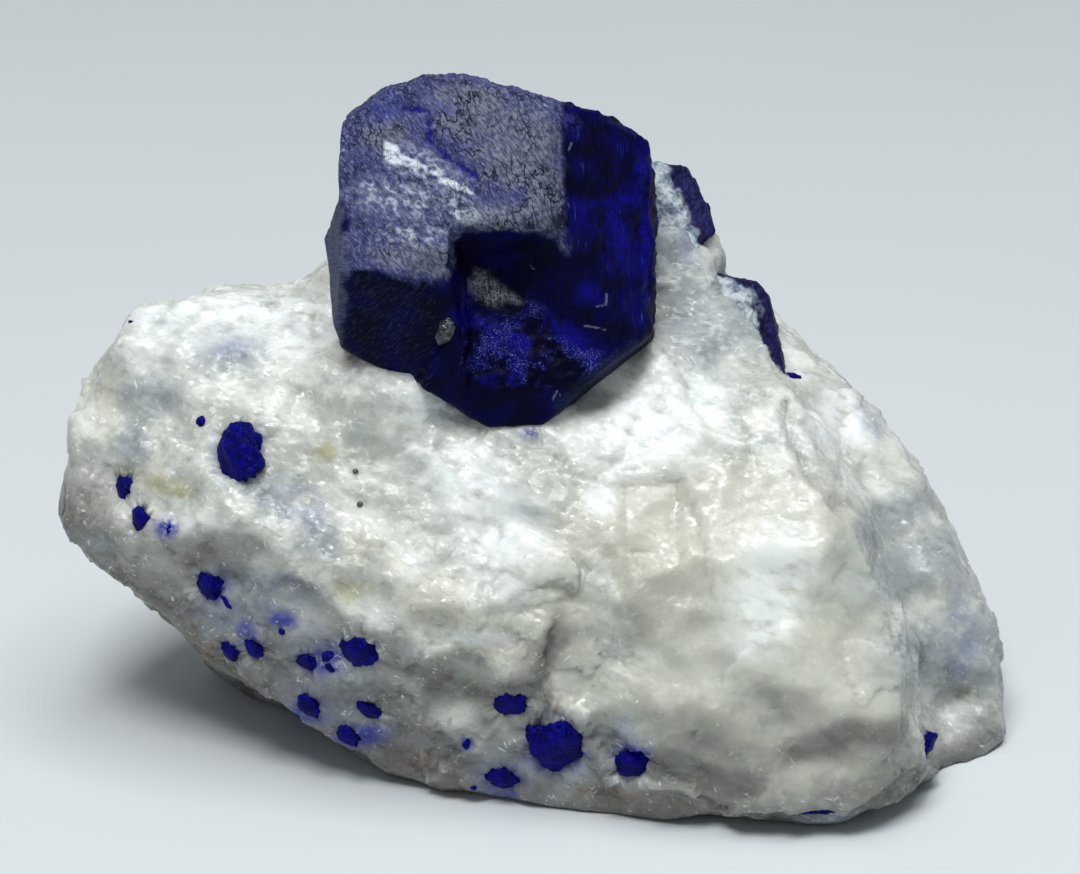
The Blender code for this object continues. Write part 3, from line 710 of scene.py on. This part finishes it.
class Finish:
    """A material: its Principled shader and the nodes that feed it."""

    def __init__(self, name, **constants):
        self.material = bpy.data.materials.new(name)
        self.material.use_nodes = True
        self.tree = self.material.node_tree
        self.shader = self.tree.nodes["Principled BSDF"]
        for socket, value in constants.items():
            self.shader.inputs[socket.replace("_", " ")].default_value = value
        self.place = self.node("TexCoord", output="Object")
        self.normal = self.node("NewGeometry", output="Normal")

    def node(self, kind, settings=None, inputs=None, output=0):
        """Adds a node: its settings first, then the values or links of its sockets. Gives one output."""
        made = self.tree.nodes.new("ShaderNode" + kind)
        for name, value in (settings or {}).items():
            setattr(made, name, value)
        for key, value in (inputs or {}).items():
            self.feed(made.inputs[key], value)
        return Value(self, made.outputs[output])

    def feed(self, socket, value):
        """Links a value to a socket, or sets the socket to a number or colour."""
        if isinstance(value, Value):
            self.tree.links.new(value.socket, socket)
        else:
            socket.default_value = value

    def mix(self, share, first, second):
        """A colour from the first, at share 0, to the second, at share 1."""
        ends = [c if isinstance(c, Value) else (*c, 1.0) for c in (first, second)]
        return self.node("Mix", {"data_type": "RGBA"}, {0: share, 6: ends[0], 7: ends[1]}, output=2)

    def step(self, value, low, high):
        """From 0 at low to 1 at high, with soft ends."""
        return self.node(
            "MapRange",
            {"interpolation_type": "SMOOTHSTEP"},
            {"Value": value, "From Min": low, "From Max": high},
        )

    def vector(self, operation, first, second, output=0):
        """Vector maths on two vectors or colours."""
        return self.node("VectorMath", {"operation": operation}, {0: first, 1: second}, output)

    def scaled(self, vector, factor):
        """A vector times a number."""
        return self.node("VectorMath", {"operation": "SCALE"}, {0: vector, "Scale": factor})

    def clouds(self, size, detail=3.0, place=None, output=0):
        """A soft random pattern, from 0 to 1, whose blobs have the given size in millimetres."""
        settings = {"Scale": 1 / (size * MM), "Detail": detail, "Vector": place or self.place}
        return self.node("TexNoise", inputs=settings, output=output)

    def cells(self, size, place=None, output="Color"):
        """Random cells of the given size in millimetres."""
        settings = {"Scale": 1 / (size * MM), "Vector": place or self.place}
        return self.node("TexVoronoi", inputs=settings, output=output)

    def along_board(self, angle, length, width):
        """Places on the board turned by an angle and stretched, for streaks of that length and width."""
        lay_down = (BOARD_LEAN - math.pi / 2, 0, 0)
        flat = self.node("Mapping", inputs={"Vector": self.place, "Rotation": lay_down})
        turned = self.node("Mapping", inputs={"Vector": flat, "Rotation": (0, 0, math.radians(angle))})
        return self.vector("MULTIPLY", turned, (width / length, 1.0, width / length))

    def attribute(self, name):
        """What was painted on the piece under a name."""
        return self.node("Attribute", {"attribute_name": name}, output="Fac")

    def glints(self, scales, place=None):
        """The surface's normal, tipped at random cell by cell, as small cleavage faces are.

        Each scale is the size of its cells in millimetres and how far they tip.
        """
        tipped = self.normal
        for size, tilt in scales:
            tip = self.vector("SUBTRACT", self.cells(size, place), (0.5, 0.5, 0.5))
            tipped = self.vector("ADD", tipped, self.scaled(tip, 2 * tilt))
        return self.node("VectorMath", {"operation": "NORMALIZE"}, {0: tipped})

    def bump(self, height, depth, normal=None):
        """The normal of a surface whose relief rises by the depth, in millimetres, as height goes to 1."""
        inputs = {"Height": height, "Distance": depth * MM}
        if normal is not None:
            inputs["Normal"] = normal
        return self.node("Bump", inputs=inputs)


# The marble's colours
WHITE = (0.73, 0.745, 0.70)
CLEAR = (0.50, 0.515, 0.47)
SNOW_AND_LIGHT = (0.89, 0.935, 0.935)
CREAM = (0.52, 0.53, 0.445)
COOL = (0.33, 0.37, 0.38)
BROWN = (0.17, 0.13, 0.10)
OLIVE = (0.36, 0.34, 0.12)
STAIN = (0.012, 0.028, 0.30)
BLUE_HAZE = (0.20, 0.25, 0.38)
SHADE = (0.065, 0.060, 0.055)

# How steeply the marble's painted glints lean, as thin white streaks
GLINT_FLECK_ANGLES = (-38.0, 20.0, 65.0)


def marble_finish():
    """Coarse white calcite: clear and sparkling, with creamy, grey, brown and blue tints, painted shade low
    down, under downturned faces and in cracks, and painted light on the lit tops and as glints.
    """
    marble = Finish(
        "white_marble",
        Subsurface_Weight=0.7,
        Subsurface_Radius=(1.0, 0.97, 0.9),
        Subsurface_Scale=0.002,
        IOR=1.55,
    )
    rough = 1 - marble.attribute("smooth")
    drawn = marble.along_board(18.0, 2.0, 1.0)
    broad = marble.clouds(2.6, 4.0, drawn)
    mottle = marble.clouds(0.9, 5.0, drawn)
    speckle = marble.clouds(0.45, 4.0)

    colour = marble.mix(marble.step(broad + 0.5 * mottle, 0.62, 0.88), CLEAR, WHITE)
    # Creamy, olive and grey tints; the grey patches also paint shade on the right flank and the lower left
    for name, most, tint in (("cream", 0.7, CREAM), ("cool_and_shade", 0.85, COOL), ("olive", 0.55, OLIVE)):
        colour = marble.mix(marble.attribute(name) * most * (0.3 + 1.4 * mottle), colour, tint)
    window = marble.step(marble.attribute("window") + 0.3 * speckle, 0.58, 0.72)
    colour = marble.mix(window * 0.65, colour, CREAM)
    # Painted light on the lit tops, together with whiter calcite: the patches, and a quarter strength on
    # the block's crown
    crown = marble.step(marble.attribute("crown") + 0.3 * speckle, 0.58, 0.72)
    snow_and_light = marble.attribute("snow_and_light") * marble.step(mottle, 0.22, 0.55)
    colour = marble.mix(snow_and_light.highest(crown * 0.25) * 0.72, colour, SNOW_AND_LIGHT)
    # Painted shade, with some grime, towards the lower rim and on faces that turn down
    shade = marble.attribute("shade") * (0.6 + 0.6 * mottle)
    colour = marble.mix(shade * 0.93, colour, SHADE)
    colour = marble.mix(marble.attribute("brown") * marble.step(speckle, 0.25, 0.6) * 0.75, colour, BROWN)
    haze = marble.attribute("blue_haze") * marble.step(mottle + 0.5 * speckle, 0.45, 1.0)
    colour = marble.mix(haze * 0.6, colour, BLUE_HAZE)
    stain = marble.attribute("stain") * marble.step(mottle + 0.8 * speckle, 0.6, 0.95)
    colour = marble.mix(stain, colour, STAIN)
    # Painted shade in the cracks
    crease_shade = marble.attribute("crease_shade") * marble.step(speckle, 0.3, 0.6) * 0.35
    colour = marble.mix(crease_shade, colour, SHADE)
    dark = marble.step(marble.clouds(1.5, 4.0, marble.along_board(-40.0, 2.2, 1.0)), 0.48, 0.75) * rough
    colour = marble.mix(dark * 0.5, colour, COOL)
    # Painted glints: thin white streaks leaning three ways, mostly where the marble is rough
    threads = [marble.clouds(0.17, 2.0, marble.along_board(angle, 4.0, 1.0)) for angle in GLINT_FLECK_ANGLES]
    glint_flecks = marble.step(threads[0].highest(threads[1]).highest(threads[2]), 0.64, 0.74)
    glint_flecks = glint_flecks * marble.step(marble.clouds(0.9, 3.0), 0.48, 0.6) * (0.5 + 0.5 * rough)
    colour = marble.mix(glint_flecks * 0.65, colour, SNOW_AND_LIGHT)
    marble.feed(marble.shader.inputs["Base Color"], colour)

    marble.feed(marble.shader.inputs["Roughness"], 0.2 + 0.4 * marble.step(speckle, 0.3, 0.7))
    glints = marble.glints(((0.26, 0.06 + 0.18 * rough), (1.0, 0.07 + 0.11 * rough)), drawn)
    relief = speckle + 0.5 * marble.clouds(0.2, 2.0)
    marble.feed(marble.shader.inputs["Normal"], marble.bump(relief * (0.4 + 0.6 * rough), 0.03, glints))
    return marble.material


# The big crystal's colours
DEEP_BLUE = (0.0015, 0.0015, 0.055)
NIGHT = (0.0008, 0.0008, 0.012)
ULTRAMARINE = (0.004, 0.004, 0.24)
VIOLET_GREY = (0.205, 0.25, 0.365)
DARK_VIOLET = (0.072, 0.085, 0.20)
ASH_GREY = (0.165, 0.18, 0.225)
INDIGO = (0.020, 0.022, 0.10)
LAVENDER = (0.14, 0.17, 0.46)
SLATE = (0.016, 0.026, 0.050)
CALCITE = (0.66, 0.72, 0.78)
HAZE = (0.42, 0.49, 0.57)
NOTCH_GREY = (0.20, 0.205, 0.25)
TINT_BLUE = (0.05, 0.06, 0.30)
CRACK_BLUE = (0.006, 0.005, 0.17)


def main_crystal_finish():
    """Deep blue with a violet-grey frosting and painted sheen on the front face, streaks on each face, a
    painted highlight among light scratch marks, and calcite in front.
    """
    blue = Finish("lazurite_faces", Specular_IOR_Level=0.05, IOR=1.5)
    front = blue.attribute("front")
    side = blue.attribute("side")
    lower_left = blue.attribute("lower_left")
    floor = blue.attribute("floor")
    broad = blue.clouds(2.6, 4.0)
    fine = blue.clouds(0.35, 4.0)
    speckle = blue.clouds(0.14, 3.0)
    hatching = blue.clouds(0.13, 3.0, blue.along_board(-38.0, 4.0, 1.0))
    bark = blue.clouds(0.14, 4.0, blue.along_board(52.0, 2.6, 1.0))
    threads = blue.clouds(0.12, 3.0, blue.along_board(84.0, 14.0, 1.0))
    lines = blue.clouds(0.10, 3.0, blue.along_board(4.0, 6.0, 1.0))
    cracks = (blue.clouds(0.6, 4.0, blue.along_board(72.0, 1.6, 1.0)) - 0.5).size()

    colour = blue.mix(blue.step(broad, 0.35, 0.7), NIGHT, DEEP_BLUE)
    # The front face: frosting and painted sheen, violet-grey, greyer in patches, with dark streaks and pits
    ash_and_sheen = blue.step(blue.attribute("ash_and_sheen") * 0.5 + 0.6 * broad + 0.4 * fine, 0.5, 0.95)
    frost_and_sheen = blue.mix(ash_and_sheen, DARK_VIOLET, ASH_GREY)
    frost_and_sheen = blue.mix((1 - blue.step(bark + 0.4 * fine, 0.55, 0.85)) * 0.7, frost_and_sheen, INDIGO)
    frost_and_sheen = blue.mix(blue.step(bark + 0.3 * speckle, 0.68, 0.88) * 0.5, frost_and_sheen, VIOLET_GREY)
    pits = (1 - blue.step(cracks, 0.0, 0.04)) * blue.step(broad, 0.42, 0.6)
    frost_and_sheen = blue.mix(pits * (0.3 + 0.6 * ash_and_sheen), frost_and_sheen, NIGHT)
    colour = blue.mix(front, colour, frost_and_sheen)
    strip = blue.attribute("strip") * (0.5 + 0.5 * blue.step(lines, 0.4, 0.6)) * 0.36
    colour = blue.mix(strip, colour, VIOLET_GREY)
    streaks = blue.step(threads, 0.60, 0.72) * blue.step(broad + 0.4 * fine, 0.65, 0.9)
    gloss = blue.step(broad + 0.3 * threads + 0.3 * fine, 0.6, 1.1) * 0.55
    sheen = blue.mix(streaks * 0.45, blue.mix(gloss, NIGHT, ULTRAMARINE), LAVENDER)
    colour = blue.mix(side * 0.85, colour, sheen)
    colour = blue.mix(lower_left * blue.step(hatching, 0.5, 0.7) * 0.75, colour, SLATE)
    bevel = blue.attribute("bevel") * blue.step(speckle + 0.5 * broad, 0.6, 0.9) * 0.7
    colour = blue.mix(bevel, colour, SLATE)
    sparks = blue.step(blue.clouds(0.09, 3.0), 0.54, 0.68) * blue.step(broad + 0.5 * fine, 0.74, 0.9) * 0.55
    basin = blue.mix(blue.step(broad + 0.3 * fine, 0.62, 0.85) * 0.55, NIGHT, ULTRAMARINE)
    basin = blue.mix(sparks, basin, VIOLET_GREY)
    colour = blue.mix(floor, colour, basin)
    grey = blue.step(0.6 * threads + 0.4 * speckle + 0.3 * fine, 0.5, 0.8)
    grey = blue.attribute("grey") * (0.2 + 0.8 * grey) * blue.step(speckle + 0.5 * fine, 0.45, 0.8)
    colour = blue.mix(grey, colour, NOTCH_GREY)
    glow = blue.attribute("glow") * blue.step(fine + broad, 0.7, 1.25)
    colour = blue.mix(glow * 0.7, colour, ULTRAMARINE)
    colour = blue.mix(blue.attribute("tint") * blue.step(fine, 0.35, 0.65) * 0.6, colour, TINT_BLUE)
    colour = blue.mix(blue.attribute("black") * 0.85, colour, NIGHT)
    smear = blue.clouds(0.45, 6.0, blue.along_board(28.0, 1.5, 1.0))
    wisps = (blue.clouds(0.7, 5.0, blue.along_board(28.0, 1.3, 1.0)) - 0.5).size()
    mist = blue.attribute("haze") * (0.25 + 0.75 * (1 - blue.step(wisps, 0.0, 0.09)))
    murk = blue.attribute("haze") * blue.step(wisps, 0.05, 0.16) * 0.5
    colour = blue.mix(murk, colour, INDIGO)
    colour = blue.mix(mist * blue.step(smear, 0.3, 0.6) * 0.95, colour, HAZE)
    calcite = blue.step(blue.attribute("calcite") * 0.45 + smear, 0.62, 0.98)
    colour = blue.mix(calcite * front, colour, CALCITE)
    colour = blue.mix(blue.attribute("crack") * 0.9, colour, CRACK_BLUE)
    # Light scratch marks, and a painted highlight on the edge of a small step
    scratch_and_highlight_marks = blue.step(blue.attribute("scratch_and_highlight_marks") + 0.2 * speckle, 0.82, 1.0) * 0.15
    colour = blue.mix(scratch_and_highlight_marks, colour, CALCITE)
    blue.feed(blue.shader.inputs["Base Color"], colour)
    blue.feed(blue.shader.inputs["Roughness"], 0.35 + 0.3 * fine)
    relief = front * (0.8 * bark - pits) + side * threads + lower_left * hatching + 0.7 * fine
    blue.feed(blue.shader.inputs["Normal"], blue.bump(relief, 0.12))
    return blue.material


# The small crystals' bare faces and crust, each in its dark and its light tone
BARE_TONES = (0.003, 0.003, 0.03), (0.012, 0.012, 0.085)
CRUST_TONES = (0.10, 0.14, 0.20), (0.50, 0.56, 0.60)

# The dark and the light tone of the grains, of the beads, of the glassy grain and of the floor
GRAIN_TONES = (0.001, 0.001, 0.07), (0.002, 0.002, 0.17)
BEAD_TONES = (0.03, 0.03, 0.035), (0.10, 0.10, 0.10)
GLASSY_TONES = (0.006, 0.007, 0.02), (0.10, 0.11, 0.13)
FLOOR_TONES = (0.60, 0.64, 0.66), (0.64, 0.68, 0.70)


def small_crystal_finish():
    """Blue-black where the crystal is bare, frosted grey-white where marble has grown over it."""
    blue = Finish("lazurite_crusted", Specular_IOR_Level=0.12, IOR=1.5)
    fine = blue.clouds(0.3, 4.0)
    blotches = blue.clouds(0.9, 4.0)
    crust = blue.mix(blue.step(blotches + 0.4 * fine, 0.5, 0.85), *CRUST_TONES)
    deep = blue.mix(blue.step(blotches + 0.4 * fine, 0.5, 0.9), *BARE_TONES)
    blue.feed(blue.shader.inputs["Base Color"], blue.mix(blue.attribute("crust"), deep, crust))
    blue.feed(blue.shader.inputs["Roughness"], 0.3 + 0.4 * fine)
    blue.feed(blue.shader.inputs["Normal"], blue.bump(fine + blue.cells(0.4, output="Distance"), 0.12))
    return blue.material


def grain_finish():
    """The grains' plain ultramarine, a little darker in places."""
    blue = Finish("lazurite_grains", Specular_IOR_Level=0.06, IOR=1.5)
    broad = blue.clouds(0.8, 3.0)
    fine = blue.clouds(0.2, 3.0)
    colour = blue.mix(blue.step(broad, 0.35, 0.65), *GRAIN_TONES)
    blue.feed(blue.shader.inputs["Base Color"], colour)
    blue.feed(blue.shader.inputs["Roughness"], 0.35 + 0.3 * fine)
    blue.feed(blue.shader.inputs["Normal"], blue.bump(fine + blue.cells(0.25, output="Distance"), 0.06))
    return blue.material


def bead_finish():
    """Dark grey mineral beads with a dull shine."""
    bead = Finish("dark_beads", Specular_IOR_Level=0.7, Roughness=0.25)
    fine = bead.clouds(0.1, 2.0)
    bead.feed(bead.shader.inputs["Base Color"], bead.mix(fine, *BEAD_TONES))
    return bead.material


def glassy_finish():
    """Clear grey calcite, dark where the crystal shows through it."""
    grey = Finish("glassy_calcite", Specular_IOR_Level=0.6, Roughness=0.2, IOR=1.55)
    fine = grey.clouds(0.35, 4.0)
    colour = grey.mix(grey.step(fine, 0.48, 0.66), *GLASSY_TONES)
    grey.feed(grey.shader.inputs["Base Color"], colour)
    grey.feed(grey.shader.inputs["Normal"], grey.bump(fine, 0.12, grey.glints([(0.4, 0.3)])))
    return grey.material


# Things too small for the model: place on the board, half length and half width, and turn in degrees
SPECKS = [
    (-22.6, 1.1, 0.38, 0.32, 20.0),
    (-27.3, 7.7, 0.16, 0.12, 0.0),
    (-24.7, -6.1, 0.40, 0.22, 60.0),
    (-20.9, -11.0, 0.60, 0.20, -50.0),
    (-17.2, -13.0, 0.26, 0.22, 80.0),
    (-14.2, -14.6, 0.48, 0.34, 30.0),
    (-14.0, -15.4, 0.38, 0.28, -20.0),
    (-12.2, -19.9, 0.46, 0.34, 20.0),
    (-13.4, -20.5, 0.38, 0.26, -40.0),
    (-4.9, -20.5, 0.36, 0.30, 70.0),
    (-4.4, -23.4, 0.24, 0.16, 0.0),
    (-2.1, -24.3, 0.34, 0.22, 10.0),
    (18.6, -25.0, 1.35, 0.32, 3.0),
    (16.9, 4.1, 0.55, 0.24, -5.0),
]
BEADS = [
    (-12.3, -2.3, 0.20, 0.19, 0.0),
    (-12.0, -4.5, 0.22, 0.21, 0.0),
]
GLASSY_GRAIN = [
    (-6.25, 7.1, 1.05, 0.6, 62.0),
]

# Where the random patterns of these start
FIRST_BEAD_SEED = 60


def make_scatter(name, spots, surface, roundness, unevenness, finish):
    """Small grains on a surface, made as one piece from beads flattened to the roundness."""
    beads = []
    for number, (x, v, length, width, turn) in enumerate(spots):
        sight = Vector(board(x, v, 0) - EYE).normalized()
        place, normal, _, _ = surface.ray_cast(Vector(EYE), sight)
        if place is None:
            continue
        bpy.ops.object.select_all(action="DESELECT")
        bpy.ops.mesh.primitive_ico_sphere_add(subdivisions=4, radius=1.0)
        bead = bpy.context.object
        along = Vector(toward(math.cos(math.radians(turn)), math.sin(math.radians(turn)), 0))
        across = normal.cross(along).normalized()
        along = across.cross(normal).normalized()
        axes = Matrix((along, across, normal)).transposed()
        size = Matrix.Diagonal((length * MM, width * MM, width * roundness * MM))
        bead.data.transform((axes @ size).to_4x4())
        points = points_of(bead)
        uneven = clouds(points, width * 1.5, FIRST_BEAD_SEED + number) * width * unevenness
        points += normals_of(bead) * (uneven * MM)[:, None]
        move_points(bead, points + np.array(place))
        beads.append(bead)
    bpy.ops.object.select_all(action="DESELECT")
    for bead in beads:
        bead.select_set(True)
    bpy.context.view_layer.objects.active = beads[0]
    if len(beads) > 1:
        bpy.ops.object.join()
    scatter = bpy.context.object
    scatter.name = name
    hand_over(scatter, [], finish)


# The stage

def floor_finish():
    """The plain pale floor."""
    floor = Finish("pale_floor", Roughness=0.6, Specular_IOR_Level=0.2)
    shade = floor.clouds(60.0, 2.0)
    floor.feed(floor.shader.inputs["Base Color"], floor.mix(shade, *FLOOR_TONES))
    return floor.material


def make_floor():
    """The floor that the specimen rests on."""
    bpy.ops.object.select_all(action="DESELECT")
    bpy.ops.mesh.primitive_plane_add(size=4.0, location=(0, 0, 0))
    floor = bpy.context.object
    floor.name = "floor"
    floor.data.materials.append(floor_finish())


def aim(placed, azimuth, elevation, distance):
    """Puts a light at an angle around the specimen, looking at its middle."""
    a, e = math.radians(azimuth), math.radians(elevation)
    way = Vector((math.sin(a) * math.cos(e), -math.cos(a) * math.cos(e), math.sin(e)))
    placed.location = way * distance + Vector((0, 0, BOARD_HEIGHT * MM))
    placed.rotation_euler = (-way).to_track_quat("-Z", "Y").to_euler()


# Each light's name, azimuth, elevation, distance, size, power and colour
LIGHTS = [
    ("window", -22.0, 64.0, 0.60, 0.20, 2.4, (1.0, 1.0, 1.0)),
    ("overhead", 60.0, 80.0, 0.60, 0.34, 1.7, (0.97, 0.99, 1.0)),
]

# The sky's colour, and how bright it is
SKY = (0.92, 0.96, 1.0, 1.0)
SKY_STRENGTH = 0.26


def make_lights():
    """Soft studio lights from above, and a pale sky all round."""
    for name, azimuth, elevation, distance, size, power, colour in LIGHTS:
        light = bpy.data.lights.new(name, "AREA")
        light.size = size
        light.energy = power
        light.color = colour
        lamp = bpy.data.objects.new(name, light)
        bpy.context.scene.collection.objects.link(lamp)
        aim(lamp, azimuth, elevation, distance)
    world = bpy.data.worlds.new("studio")
    world.use_nodes = True
    world.node_tree.nodes["Background"].inputs["Color"].default_value = SKY
    world.node_tree.nodes["Background"].inputs["Strength"].default_value = SKY_STRENGTH
    bpy.context.scene.world = world


def make_camera():
    """The camera at the eye, square to the board."""
    lens = bpy.data.cameras.new("eye")
    lens.sensor_width = SENSOR_WIDTH
    lens.lens = SENSOR_WIDTH * EYE_DISTANCE / VIEW_WIDTH
    lens.clip_start = 0.01
    camera = bpy.data.objects.new("eye", lens)
    bpy.context.scene.collection.objects.link(camera)
    camera.location = EYE
    camera.rotation_euler = Vector(-OUT).to_track_quat("-Z", "Y").to_euler()
    bpy.context.scene.camera = camera
    bpy.context.scene.view_settings.view_transform = "Standard"


def main():
    """Sets the stage, carves and finishes every piece."""
    make_camera()
    make_lights()
    make_floor()

    main_crystal = carve_main_crystal()
    back_crystal = carve_small_crystal("back_crystal", "lazurite_back", BACK_CRUST_EDGE, BACK_SEED)
    side_crystal = carve_small_crystal("side_crystal", "lazurite_side", SIDE_CRUST_EDGE, SIDE_SEED)
    crystals = [main_crystal, back_crystal, side_crystal]
    grains = [carve_grain(node, FIRST_GRAIN_SEED + number) for number, node in enumerate(GRAINS)]
    marble = carve_marble(crystals, grains)

    grain_blue = grain_finish()
    crusted = small_crystal_finish()
    hand_over(marble, ["matrix"], marble_finish())
    hand_over(main_crystal, ["main_crystal"], main_crystal_finish())
    hand_over(back_crystal, ["back_crystal"], crusted)
    hand_over(side_crystal, ["side_crystal"], crusted)
    for node, grain in zip(GRAINS, grains):
        hand_over(grain, [node], grain_blue)
    surface = skin_tree([marble, *crystals])
    make_scatter("lazurite_specks", SPECKS, surface, 0.5, 0.35, grain_blue)
    make_scatter("dark_beads", BEADS, surface, 1.0, 0.0, bead_finish())
    make_scatter("glassy_grain", GLASSY_GRAIN, surface, 0.6, 0.5, glassy_finish())


main()
